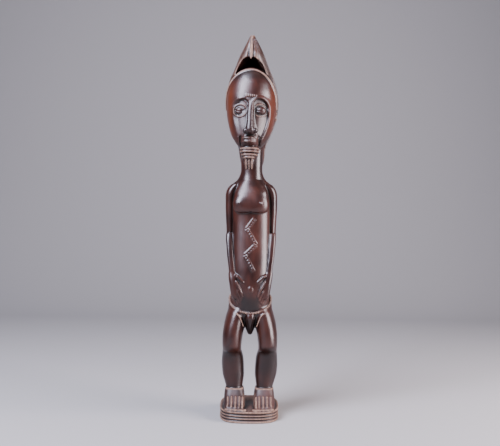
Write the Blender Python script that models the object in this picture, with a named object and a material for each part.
"""A standing male figure with a tall peaked hairstyle, carved with its plinth from one block of wood.

Metres, +Z up. The figure faces -Y, and the origin is at the middle of the plinth's underside.
The free forms are drawn in carver's units: the figure is DRAWN_HEIGHT units tall from its soles
to the tips of its hair, so one unit is a millimetre while FIGURE_HEIGHT is 423 mm.
Heights in the tables are above the soles.
"""

import math

import bmesh
import bpy
from mathutils import Matrix, Vector

# The figure
FIGURE_HEIGHT = 0.423
DRAWN_HEIGHT = 423.0
UNIT = FIGURE_HEIGHT / DRAWN_HEIGHT
HEAD_TURN = math.radians(-6)

# The plinth: its plan follows the feet, with these margins around them
PLINTH_HEIGHT = 0.0125
PLINTH_SIDE_MARGIN = 0.0051
PLINTH_FRONT_MARGIN = 0.0015
PLINTH_BACK_MARGIN = 0.027
PLINTH_SQUARENESS = 3.2
PLINTH_CORNERS = 28
RIDGE_COUNT = 4
RIDGE_RELIEF = 0.0013
RIDGE_LAND = 0.45

# Waistband and scar bands
BELT_HALF_WIDTH = 0.0015
BELT_RELIEF = 0.0017
SCAR_HALF_WIDTH = 0.0024
SCAR_RELIEF = 0.0008

# Rows are: height, centre across, half width, front, back. A row is an oval in plan.
SKULL = [
    (290, -0.8, 8, -25, -4), (294, -0.8, 13, -30, 4), (300, -0.9, 17.4, -32.5, 12),
    (308, -0.9, 22, -33.6, 19), (319, -0.9, 25.5, -34, 25), (334, -0.9, 28.2, -33.5, 29.5),
    (350, -0.9, 28.8, -32.6, 31), (362, -0.9, 27, -30, 29), (372, -0.8, 22.8, -25.8, 25),
    (380.5, -0.6, 15.4, -19.6, 18.5), (386, -0.5, 5.2, -9, 8),
]
HAIR = [
    (274.5, -0.6, 11.8, 3, 20), (279, -0.8, 13.4, 0, 22.4), (295, -1.2, 15.4, -2, 27.4),
    (301, -1.3, 17.2, -1.6, 29.6), (307, -1.4, 20, -1, 31.8), (320, -1.5, 25, 1, 35),
    (334, -1.5, 28.9, -4, 37), (347, -1.5, 30.4, -9.5, 37.5),
    (360, -1.5, 29.3, -14, 36), (373, -1.5, 25.6, -18, 32.2), (386, -0.8, 19.4, -20.4, 26.4),
    (397, -0.6, 15.1, -20.6, 20), (408, -0.3, 9.9, -17, 12.4), (417, -0.2, 5.1, -13, 5.8),
    (423, -0.1, 2.4, -9.4, 0.6),
]
RECESS = [
    (363, -1, 24, -45, -14), (370, -0.7, 22, -45, -5), (384, -0.9, 15.4, -45, 8),
    (389.8, -1, 11.3, -45, 6), (393, -1.1, 8.2, -45, -1), (394.8, -1.2, 5.2, -45, -8),
]
NECK = [
    (246, 0, 15.5, -10, 16), (257, 0, 12.9, -8.5, 17.5), (270, 0, 12.4, -7.6, 17.5), (284, 0, 12.6, -8, 18),
    (300, 0, 13.6, -10, 20),
]
TORSO = [
    (100, 0, 19, -15.4, 17), (110, 0, 21.4, -18.8, 19.4), (120, 0, 21.8, -21.2, 18.2),
    (134, 0, 21.6, -22.8, 15), (152, 0, 21.4, -21.8, 12), (172, 0, 21.4, -19.8, 11.2),
    (210, 0, 21.1, -16.2, 14.4), (226, 0, 21.2, -15.6, 15.8), (240, 0, 20.4, -14, 16), (251, 0, 16.4, -10.6, 14.8), (260, 0, 11, -7, 12),
]
SHOULDERS = [
    (236, 0, 22, -3, 13.6), (244, 0, 25.2, -4, 15), (249, 0, 24.6, -4.4, 15.6),
    (253.5, 0, 21.4, -4.6, 16), (257.5, 0, 16.8, -4.8, 16), (266, 0, 11.8, -4.6, 15.6),
]
CHEST = [
    (219.6, 0, 15.6, -18.4, -4), (221.2, 0, 18, -19.6, -2), (226, 0, 19.4, -20.3, 0),
    (233, 0, 19.6, -19.8, 2), (242, 0, 18.7, -17.2, 4), (250, 0, 15.8, -13, 6),
    (257.5, 0, 11.6, -8.8, 8),
]
UPPER_ARM = [
    (187.5, 23.8, 2.9, 4.5, 13), (191, 23.9, 4.2, 1, 15.2), (198, 24.1, 4.5, -1, 15.4),
    (210, 24.5, 4.7, -1.6, 14), (226, 24.9, 5, -3, 13.4), (238, 24.5, 5.5, -4.4, 13.8),
    (243.5, 23.2, 6.1, -4.8, 14), (248, 20.8, 6.6, -4.6, 13.8), (253, 16.8, 6.4, -3.6, 13.2),
]
FOREARM = [
    (148, 19.8, 3.4, -17.2, -9), (153, 20.8, 3.7, -17.2, -8.6), (160, 21.7, 3.8, -16.4, -7),
    (170, 22.9, 3.9, -14.6, -4.6), (182, 23.8, 4.1, -12, -0.6), (191, 24.4, 4.3, -9.2, 4.4),
    (196.4, 24.4, 4.3, -6.6, 9),
]
PALM = [
    (121.5, 16.2, 3.2, -19.4, -10), (127, 17, 4.8, -20.4, -8.6), (136, 17.8, 5.5, -20.6, -7.6),
    (144, 19, 5.5, -19.6, -7.8), (152, 20.6, 4.6, -17.4, -8.6),
]
HIPS = [
    (88, 0, 10, -4, 10), (96, 0, 19, -13, 19.6), (104, 0, 24, -18, 25.4), (112, 0, 25.2, -20.4, 26.8),
    (120, 0, 23.7, -20.8, 25.4), (130, 0, 21.6, -20, 21),
]
LEG = [
    (7, 17, 9.1, -10.5, 10), (18, 17.2, 9.2, -9.8, 10.4), (26, 17.8, 10.7, -9.4, 12.4),
    (35, 18.6, 12.6, -9.4, 16), (45, 19.2, 12.9, -9.8, 17), (55, 19.6, 12, -11.2, 13.4),
    (60.5, 20, 11.1, -14, 9.6), (65, 20.3, 10.6, -20.4, 7.2), (69.5, 20.4, 10.8, -23.2, 7),
    (78, 19.9, 11.4, -23.6, 11), (89, 18.3, 12, -22.8, 18.6), (99, 16.2, 12.2, -21.2, 24.6),
    (107, 14, 12, -19, 26), (113, 11.4, 10, -15.4, 24),
]
FOOT = [
    (-2, 16.7, 11.8, -32.8, 14.6), (3, 16.7, 12.1, -31.6, 14.6), (6, 16.7, 12.1, -26.6, 14.2),
    (12.4, 16.9, 11.6, -18, 13.6), (18.4, 17, 10.6, -12.6, 12.6), (20, 17, 10, -11.6, 12),
]
LOINCLOTH = [
    (80.5, 0, 2.6, -8, 4), (87, 0, 4.8, -14.5, 10), (94, 0, 6.6, -19, 17), (101, 0, 8, -21.6, 24),
    (108, 0, 8, -19.6, 26),
]
NOSE = [
    (306, 1.6, 3.4, -38.4, -28), (307.8, 1.6, 5.1, -41.2, -28), (310.8, 1.5, 5.1, -42.6, -28),
    (314.4, 1.4, 4.3, -42, -28), (322, 1.3, 4.1, -39.6, -28), (332, 1.2, 3.9, -37, -27),
    (340, 1.6, 4.8, -34, -26),
]
BEARD = [
    (267.6, 0, 3.6, -32, -26), (270.6, 0, 4.9, -33.4, -25), (276, 0, 6.6, -34.4, -22),
    (282.4, 0, 8.8, -35, -16), (293, 0, 9.6, -33.4, -10),
]
BEARD_BANDS = [(290.1, 10.9), (287, 10.8), (283.5, 9.6), (280.4, 7.6)]
BAND_PROFILE = [(-1.35, 1.2), (0, 0), (1.25, 1.2)]
BEARD_STRANDS = (-3.1, 0.2, 3.5)
STRAND_PATH = [(-34.8, 278.8), (-34.2, 273), (-32.4, 267.8)]
STRAND_RADII = (1.3, 1.25, 0.9)
MUZZLE = ((-0.6, -28.5, 299), (10, 8, 7.6))
MOUTH_CENTRE = -0.8
LIPS = [("upper_lip", 301.4, 1.5), ("lower_lip", 297.8, 1.6)]
LIP_PATH = [(-6.6, -34, 0), (-3.4, -35.9, 0.3), (0, -36.5, 0), (3.4, -35.9, 0.3), (6.6, -34, 0)]
FACE_CENTRE = 0.5
EYE = ((11.5, -28.6, 333.2), (7.3, 4.6, 5.8))
SOCKET = ((12.4, -36.6, 322), (12.2, 8.2, 31))
NOSTRIL_CENTRE = 1.7
NOSTRIL = ((5.6, -36.6, 309.8), (3, 3.8, 2.6))
BROW_CENTRE, BROW_RADII, BROW_THICKNESS = (12, 332), (9, 13.8), 1.6
EAR_CENTRE, EAR_RADII, EAR_THICKNESS = (27.4, -2, 329.6), (3, 4.4), 1.4
HAIRLINE_MIDDLE, HAIRLINE_LEAN, HAIRLINE_THICKNESS = (345, 334, -2), -0.37, 1.8
FRONT_RIB = [(0, -11.4, 419), (0, -16.6, 409), (0, -20.8, 399.5), (-0.2, -21.2, 392.6)]
FRONT_RIB_RADII = (0.7, 1.5, 1.8, 0.9)
RIB_GROOVE = [(3, -20.2, 391), (2.9, -19.2, 402), (2.3, -15.6, 412), (1.2, -11.2, 420)]
RIB_GROOVE_RADII = (1.6, 1.5, 1.2, 0.5)
TIP_NOTCH = ((0, -4.6, 424.2), (1.3, 12, 3.4))
BACK_RIDGE_HEIGHTS = (280, 300, 322, 348, 374, 396, 414)
BACK_RIDGE_RADIUS = 1.5
BREAST_NOTCH = ((-0.8, -19.6, 218.6), (2.6, 3, 2.4))
NIPPLES = ((-13, 230.4), (10.6, 230.4))
NIPPLE_RADII = (1.5, 1.3, 1.5)
NAVEL = [(137, -0.6, 1), (133, 0.9, 3.2), (128, -0.6, 1.2)]
SPINE_HEIGHTS = (128, 152, 180, 208, 234)
SPINE_RADII = (0.8, 1.8, 1.9, 1.8, 0.8)
TOES = [(7.2, 2.7, -36.6), (12.1, 2.1, -35.4), (16.4, 2.1, -34.8), (20.6, 2.05, -33.8), (24.8, 2, -32.4)]
TOE_BACK = ((-19, 9.4), (-26.5, 7))
TOE_TAPER = (1, 1, 1, 0.7)
FINGERS = [
    ((15.8, 142), (8.4, 125.4)), ((17.8, 139), (10, 121.4)), ((19.2, 135.6), (11.6, 118.2)),
    ((19.8, 130.6), (13.4, 116.8)),
]
THUMB = [(20.4, 152.4, 0.4), (14.8, 147.7, 1), (9, 142.4, 0.2)]
THUMB_RADII = (1.9, 1.7, 1.0)
FINGER_RADII = (1.3, 1.25, 0.9)
SCAR_ZIGZAG = [(4.0, 213), (-4.6, 201), (5.6, 183.5), (-6.4, 171.5), (3.2, 153.5)]

# Ovals are squarer than an ellipse by this exponent, where 2 is an ellipse.
HEAD_SQUARE = 2.15
BODY_SQUARE = 2.3
FOOT_SQUARE = 3.4
BELT_FRONT, BELT_RISE, BELT_SWEEP = 106.2, 22, 1.8
BELT_CORNERS, BELT_SIDES = 20, 5
HIP_CORNERS, HIP_TOP_SHARE = 20, 0.99

WOOD = bpy.data.materials.new("dark_wood")


def clear_scene():
    for old in list(bpy.data.objects):
        bpy.data.objects.remove(old)


def paint(material):
    material.use_nodes = True
    shader = material.node_tree.nodes["Principled BSDF"]
    shader.inputs["Base Color"].default_value = (0.085, 0.032, 0.022, 1)
    shader.inputs["Roughness"].default_value = 0.32
    shader.inputs["Metallic"].default_value = 0


def new_collection(name):
    made = bpy.data.collections.new(name)
    bpy.context.scene.collection.children.link(made)
    return made


def slope_at(rows, k, column):
    """The slope of a column at row k, flat at a high or low point, so that no curve overshoots."""
    before = after = None
    if k > 0:
        before = (rows[k][column] - rows[k - 1][column]) / (rows[k][0] - rows[k - 1][0])
    if k < len(rows) - 1:
        after = (rows[k + 1][column] - rows[k][column]) / (rows[k + 1][0] - rows[k][0])
    if before is None or after is None:
        return after if before is None else before
    return 0.0 if before * after <= 0 else 2 * before * after / (before + after)


def eased(rows, height):
    """The row of a table at any height, on a smooth curve through its rows."""
    height = min(max(height, rows[0][0]), rows[-1][0])
    k = max(i for i in range(len(rows) - 1) if rows[i][0] <= height)
    span = rows[k + 1][0] - rows[k][0]
    t = (height - rows[k][0]) / span
    found = [height]
    for column in range(1, len(rows[0])):
        start, end = rows[k][column], rows[k + 1][column]
        leave, arrive = slope_at(rows, k, column) * span, slope_at(rows, k + 1, column) * span
        found.append(
            (2 * t**3 - 3 * t**2 + 1) * start + (t**3 - 2 * t**2 + t) * leave
            + (3 * t**2 - 2 * t**3) * end + (t**3 - t**2) * arrive
        )
    return found


def front_of(rows, square, x, height):
    """How far forward the front of a stack of ovals is, at a place across and a height."""
    _, centre, half, front, back = eased(rows, height)
    share = min(abs(x - centre) / half, 1)
    return (front + back) / 2 - (back - front) / 2 * (1 - share**square) ** (1 / square)


def place(x, y, height):
    """A point given in carver's units and a height above the soles, in metres."""
    return Vector((x * UNIT, y * UNIT, PLINTH_HEIGHT + height * UNIT))


def turned(point):
    """The same point on the head, which looks a little to its own right."""
    return Matrix.Rotation(HEAD_TURN, 3, "Z") @ point


def oval(centre, half_width, half_depth, square, corners):
    """Points round a squared oval, counter-clockwise from above, as (x, y) pairs."""
    points = []
    for k in range(corners):
        angle = 2 * math.pi * k / corners
        c, s = math.cos(angle), math.sin(angle)
        points.append((
            centre[0] + half_width * math.copysign(abs(c) ** (2 / square), c),
            centre[1] + half_depth * math.copysign(abs(s) ** (2 / square), s),
        ))
    return points


def solid_from_rings(name, rings, home, close_ends=True, split_faces=False):
    """One closed body through rings of points, capped, or with its last ring joined to its first."""
    bm = bmesh.new()
    loops = [[bm.verts.new(p) for p in ring] for ring in rings]
    pairs = list(zip(loops, loops[1:]))
    if not close_ends:
        pairs.append((loops[-1], loops[0]))
    for lower, upper in pairs:
        for k in range(len(lower)):
            n = (k + 1) % len(lower)
            bm.faces.new((lower[k], lower[n], upper[n], upper[k]))
    if close_ends:
        bm.faces.new(list(reversed(loops[0])))
        bm.faces.new(loops[-1])
    if split_faces:
        bmesh.ops.triangulate(bm, faces=bm.faces)
    bmesh.ops.recalc_face_normals(bm, faces=bm.faces)
    mesh = bpy.data.meshes.new(name)
    bm.to_mesh(mesh)
    bm.free()
    return helper(name, mesh, home)


def helper(name, mesh, home):
    """A form or a cutter that only the carved figure's modifiers use."""
    obj = bpy.data.objects.new(name, mesh)
    obj.hide_render = True
    obj.display_type = "WIRE"
    home.objects.link(obj)
    return obj


def stack(name, rows, home, corners=20, square=BODY_SQUARE, side=1, head=False, split_faces=False):
    """A form built up from the ovals of a table. Side -1 is the mirror image."""
    rings = []
    for height, x, half, front, back in rows:
        plan = oval((side * x, (front + back) / 2), half, (back - front) / 2, square, corners)
        ring = [place(px, py, height) for px, py in plan]
        rings.append([turned(p) for p in ring] if head else ring)
    return solid_from_rings(name, rings, home, split_faces=split_faces)


def tube(name, path, radii, home, corners=6, flat=1.0, head=False, facing=(0, -1, 0)):
    """A rounded bar along a path of points in units. Flat squeezes it in the direction that it faces."""
    points = [place(*p) for p in path]
    if head:
        points = [turned(p) for p in points]
    rings = []
    for k, point in enumerate(points):
        before = points[max(k - 1, 0)]
        after = points[min(k + 1, len(points) - 1)]
        along = (after - before).normalized()
        across = along.cross(Vector(facing)).normalized()
        outward = across.cross(along).normalized()
        radius = radii[k] if isinstance(radii, (list, tuple)) else radii
        rings.append([
            point + UNIT * radius * (math.cos(a) * across + math.sin(a) * flat * outward)
            for a in (2 * math.pi * c / corners for c in range(corners))
        ])
    return solid_from_rings(name, rings, home)


def egg(name, centre, radii, home, detail=2, head=False):
    """An ellipsoid, with its centre and its three radii in units."""
    bm = bmesh.new()
    bmesh.ops.create_icosphere(bm, subdivisions=detail, radius=1)
    for vert in bm.verts:
        spot = place(*(c + r * v for c, r, v in zip(centre, radii, vert.co)))
        vert.co = turned(spot) if head else spot
    mesh = bpy.data.meshes.new(name)
    bm.to_mesh(mesh)
    bm.free()
    return helper(name, mesh, home)


def both_sides():
    return (("right", -1), ("left", 1))


def add_boolean(target, operation, collection):
    cut = target.modifiers.new(operation.lower(), "BOOLEAN")
    cut.operation = operation
    cut.operand_type = "COLLECTION"
    cut.collection = collection
    cut.solver = "EXACT"


def build_plinth(home):
    """The plinth: a squared oval under the feet, with ridges and grooves round its side."""
    sole = FOOT[0]
    outer = (sole[1] + sole[2]) * UNIT + PLINTH_SIDE_MARGIN
    front = min(toe[2] for toe in TOES) * UNIT - PLINTH_FRONT_MARGIN
    back = max(row[4] for row in FOOT) * UNIT + PLINTH_BACK_MARGIN
    pitch = PLINTH_HEIGHT / RIDGE_COUNT
    profile = []
    for k in range(RIDGE_COUNT):
        low = k * pitch
        half_land = pitch * RIDGE_LAND / 2
        profile.append((low + pitch / 2 - half_land, 0.0))
        profile.append((low + pitch / 2 + half_land, 0.0))
        if k < RIDGE_COUNT - 1:
            profile.append((low + pitch, RIDGE_RELIEF))
    profile[0] = (0.0, 0.0)
    profile[-1] = (PLINTH_HEIGHT - RIDGE_RELIEF / 2, 0.0)
    profile.append((PLINTH_HEIGHT, RIDGE_RELIEF / 2))
    rings = []
    for height, inset in profile:
        middle, depth = (front + back) / 2, (back - front) / 2
        plan = oval((0, middle), outer - inset, depth - inset, PLINTH_SQUARENESS, PLINTH_CORNERS)
        rings.append([Vector((x, y, height)) for x, y in plan])
    return solid_from_rings("plinth", rings, home)


def belt_path(corners):
    """The waistband's centre line: low in front, rising to the back, on the hips' widest ring."""
    points = []
    for k in range(corners):
        angle = 2 * math.pi * k / corners
        s = math.sin(angle)
        height = BELT_FRONT + BELT_RISE * (1 - ((1 - s) / 2) ** BELT_SWEEP)
        _, _, half, front, back = eased(HIPS, height)
        points.append((half * math.cos(angle), (front + back) / 2 + (back - front) / 2 * s, height))
    return points


def build_hips(home):
    """The hips, whose top edge dips in front where the waistband does."""
    top = belt_path(HIP_CORNERS)
    rings = []
    for height, _, half, front, back in HIPS[:3]:
        plan = oval((0, (front + back) / 2), half, (back - front) / 2, 2, HIP_CORNERS)
        rings.append([place(x, y, min(height, top[k][2] - 1)) for k, (x, y) in enumerate(plan)])
    rings.append([place(x * HIP_TOP_SHARE, y * HIP_TOP_SHARE, z) for x, y, z in top])
    return solid_from_rings("hips", rings, home)


def build_belt(home):
    rings = []
    for x, y, height in belt_path(BELT_CORNERS):
        centre = place(x, y, height)
        outward = Vector((x, y, 0)).normalized()
        rings.append([
            centre + outward * BELT_RELIEF * math.cos(a) + Vector((0, 0, BELT_HALF_WIDTH * math.sin(a)))
            for a in (2 * math.pi * c / BELT_SIDES for c in range(BELT_SIDES))
        ])
    return solid_from_rings("belt", rings, home, close_ends=False)


def build_body(home):
    """Trunk, neck, arms and legs."""
    stack("neck", NECK, home, corners=14)
    stack("shoulders", SHOULDERS, home, corners=14)
    build_hips(home)
    build_belt(home)
    for name, side in both_sides():
        stack(name + "_upper_arm", UPPER_ARM, home, corners=10, square=2.1, side=side)
        stack(name + "_forearm", FOREARM, home, corners=9, square=2.1, side=side)
        stack(name + "_palm", PALM, home, corners=9, square=2.1, side=side)
        stack(name + "_leg", LEG, home, corners=14, square=2.2, side=side)
        stack(name + "_foot", FOOT, home, corners=16, square=FOOT_SQUARE, side=side)
    stack("loincloth", LOINCLOTH, home, corners=10)


def on_torso(x, height, lift=0.0):
    """A point on the front of the belly, standing a little proud of it."""
    return (x, front_of(TORSO, BODY_SQUARE, x, height) - lift, height)


def build_hands(home):
    """Four fingers and a thumb on each side, lying on the belly."""
    for name, side in both_sides():
        for k, (knuckle, tip) in enumerate(FINGERS):
            middle = [(a + b) / 2 for a, b in zip(knuckle, tip)]
            path = [on_torso(*knuckle, 0.9), on_torso(*middle, 0.9), on_torso(*tip, 0.2)]
            path = [(side * x, y, z) for x, y, z in path]
            tube(f"{name}_finger_{k + 1}", path, FINGER_RADII, home, corners=5)
        path = [on_torso(*spot) for spot in THUMB]
        tube(name + "_thumb", [(side * x, y, z) for x, y, z in path], THUMB_RADII, home)


def build_toes(home):
    """Five toes a foot, sloping down to their tips; the inner one is the big toe."""
    for name, side in both_sides():
        for k, (x, half, tip) in enumerate(TOES):
            path = [(side * x, y, z) for y, z in (*TOE_BACK, (tip + 2.4, 3.2), (tip, 1.1))]
            radii = [half * share for share in TOE_TAPER]
            tube(f"{name}_toe_{k + 1}", path, radii, home, facing=(0, -0.6, 1))


def build_belly_marks(home):
    """Nipples, navel and the zigzag of raised scar bands."""
    for (name, _), (x, height) in zip(both_sides(), NIPPLES):
        y = front_of(CHEST, BODY_SQUARE, x, height)
        egg(name + "_nipple", (x, y, height), NIPPLE_RADII, home, detail=1)
    path = [on_torso(0, height, lift) for height, lift, _ in NAVEL]
    tube("navel", path, [radius for _, _, radius in NAVEL], home)
    half = SCAR_HALF_WIDTH / UNIT
    lift = SCAR_RELIEF / UNIT
    for k, (start, end) in enumerate(zip(SCAR_ZIGZAG, SCAR_ZIGZAG[1:])):
        middle = [(a + b) / 2 for a, b in zip(start, end)]
        path = [on_torso(*spot) for spot in (start, middle, end)]
        tube(f"scar_band_{k + 1}", path, half, home, flat=lift / half)


def build_hair(home):
    """The hair, with a ridge down the middle of its back."""
    stack("hair", HAIR, home, corners=22, square=HEAD_SQUARE, head=True, split_faces=True)
    ridge = []
    for height in BACK_RIDGE_HEIGHTS:
        _, x, _, _, back = eased(HAIR, height)
        ridge.append((x, back - 0.2, height))
    tube("back_ridge", ridge, BACK_RIDGE_RADIUS, home, corners=5, head=True, facing=(0, 1, 0))


def build_hair_cuts(home):
    """The hollow under the peak, the grooves beside its front rib, and the notch between its two tips."""
    stack("recess", RECESS, home, corners=18, square=HEAD_SQUARE, head=True, split_faces=True)
    for name, side in both_sides():
        path = [(side * x, y, height) for x, y, height in RIB_GROOVE]
        tube(name + "_rib_groove", path, RIB_GROOVE_RADII, home, corners=5, head=True)
    egg("tip_notch", *TIP_NOTCH, home, detail=1, head=True)


def build_body_cuts(home):
    """The notch between the breasts and the furrow of the spine."""
    egg("breast_notch", *BREAST_NOTCH, home, detail=1)
    spine = [(0, eased(TORSO, height)[4] + 0.5, height) for height in SPINE_HEIGHTS]
    tube("spine", spine, SPINE_RADII, home, facing=(0, 1, 0))


def on_hairline(angle):
    """A point where the hairline's sloping plane meets the skull, found outwards from the plane's middle."""
    near, far = 0.0, 60.0
    for _ in range(30):
        reach = (near + far) / 2
        x, height = reach * math.cos(angle), HAIRLINE_MIDDLE[0] + reach * math.sin(angle)
        y = hairline_depth(height)
        inside = height < SKULL[-1][0]
        if inside:
            _, centre, half, front, back = eased(SKULL, height)
            across, deep = abs(x - centre) / half, abs(y - (front + back) / 2) / ((back - front) / 2)
            inside = across**HEAD_SQUARE + deep**HEAD_SQUARE < 1
        near, far = (reach, far) if inside else (near, reach)
    return (x, y, height)


def hairline_depth(height):
    """The hairline leans forward from the ears to the top of the forehead."""
    return HAIRLINE_MIDDLE[2] + (height - HAIRLINE_MIDDLE[1]) * HAIRLINE_LEAN


def build_head(home, cuts):
    """The skull with its sockets cut, and all that stands on the face."""
    skull = stack("skull", SKULL, home, corners=22, square=HEAD_SQUARE, head=True)
    for name, side in both_sides():
        (x, y, height), radii = SOCKET
        egg(name + "_socket", (FACE_CENTRE + side * x, y, height), radii, cuts, head=True)
    add_boolean(skull, "DIFFERENCE", cuts)
    stack("nose", NOSE, home, corners=10, square=2.4, head=True)
    tube("front_rib", FRONT_RIB, FRONT_RIB_RADII, home, corners=5, head=True)
    egg("muzzle", *MUZZLE, home, head=True)
    for name, height, radius in LIPS:
        path = [(MOUTH_CENTRE + x, y, height + lift) for x, y, lift in LIP_PATH]
        tube(name, path, (radius / 2, radius, radius, radius, radius / 2), home, head=True)
    band = [on_hairline(math.radians(a)) for a in range(-14, 197, 18)]
    middle = HAIRLINE_MIDDLE[0]
    band = [(0.98 * x, y, middle + 0.98 * (height - middle)) for x, y, height in band]
    tube("hairline_band", band, HAIRLINE_THICKNESS, home, head=True, facing=(0, -0.94, 0.34))
    for name, side in both_sides():
        build_side_of_face(name, side, home)


def build_beard(home):
    """The beard: a tapered block under the chin with four bands, ending in three plaits."""
    stack("beard", BEARD, home, corners=10, head=True)
    for k, (height, half) in enumerate(BEARD_BANDS):
        rows = [(height + lift, 0, half - step, step - 37.6, -12) for lift, step in BAND_PROFILE]
        stack(f"beard_band_{k + 1}", rows, home, corners=10, head=True)
    for k, x in enumerate(BEARD_STRANDS):
        path = [(x * (1 - 0.05 * n), y, height) for n, (y, height) in enumerate(STRAND_PATH)]
        tube(f"beard_strand_{k + 1}", path, STRAND_RADII, home, head=True)


def build_side_of_face(name, side, home):
    """Eye, brow, nostril and ear of one side."""
    (x, y, height), radii = EYE
    egg(name + "_eye", (FACE_CENTRE + side * x, y, height), radii, home, head=True)
    (x, y, height), radii = NOSTRIL
    egg(name + "_nostril", (NOSTRIL_CENTRE + side * x, y, height), radii, home, detail=1, head=True)
    brow = []
    for degrees in range(-14, 178, 27):
        a = math.radians(degrees)
        x = FACE_CENTRE + side * (BROW_CENTRE[0] + BROW_RADII[0] * math.cos(a))
        height = BROW_CENTRE[1] + BROW_RADII[1] * math.sin(a)
        brow.append((x, front_of(SKULL, HEAD_SQUARE, x, height) + 0.5, height))
    tube(name + "_brow", brow, BROW_THICKNESS, home, corners=5, head=True)
    ear = []
    x, y, height = EAR_CENTRE
    for degrees in range(-100, 120, 44):
        a = math.radians(degrees)
        ear.append((side * x, y + EAR_RADII[0] * math.cos(a), height + EAR_RADII[1] * math.sin(a)))
    tube(name + "_ear", ear, EAR_THICKNESS, home, corners=5, head=True, facing=(side, 0, 0))


def main():
    clear_scene()
    paint(WOOD)
    forms, hollows, carving, sockets = (
        new_collection(name) for name in ("forms", "hollows", "carving", "sockets")
    )
    torso = stack("figure", TORSO, forms, corners=20)
    torso.hide_render = False
    torso.display_type = "TEXTURED"
    forms.objects.unlink(torso)
    bpy.context.scene.collection.objects.link(torso)
    build_hair(forms)
    build_hair_cuts(hollows)
    stack("chest", CHEST, forms, corners=20)
    build_body_cuts(hollows)
    build_plinth(carving)
    build_body(carving)
    build_hands(carving)
    build_toes(carving)
    build_belly_marks(carving)
    build_head(carving, sockets)
    build_beard(carving)
    add_boolean(torso, "UNION", forms)
    add_boolean(torso, "DIFFERENCE", hollows)
    add_boolean(torso, "UNION", carving)
    torso.data.materials.append(WOOD)


main()
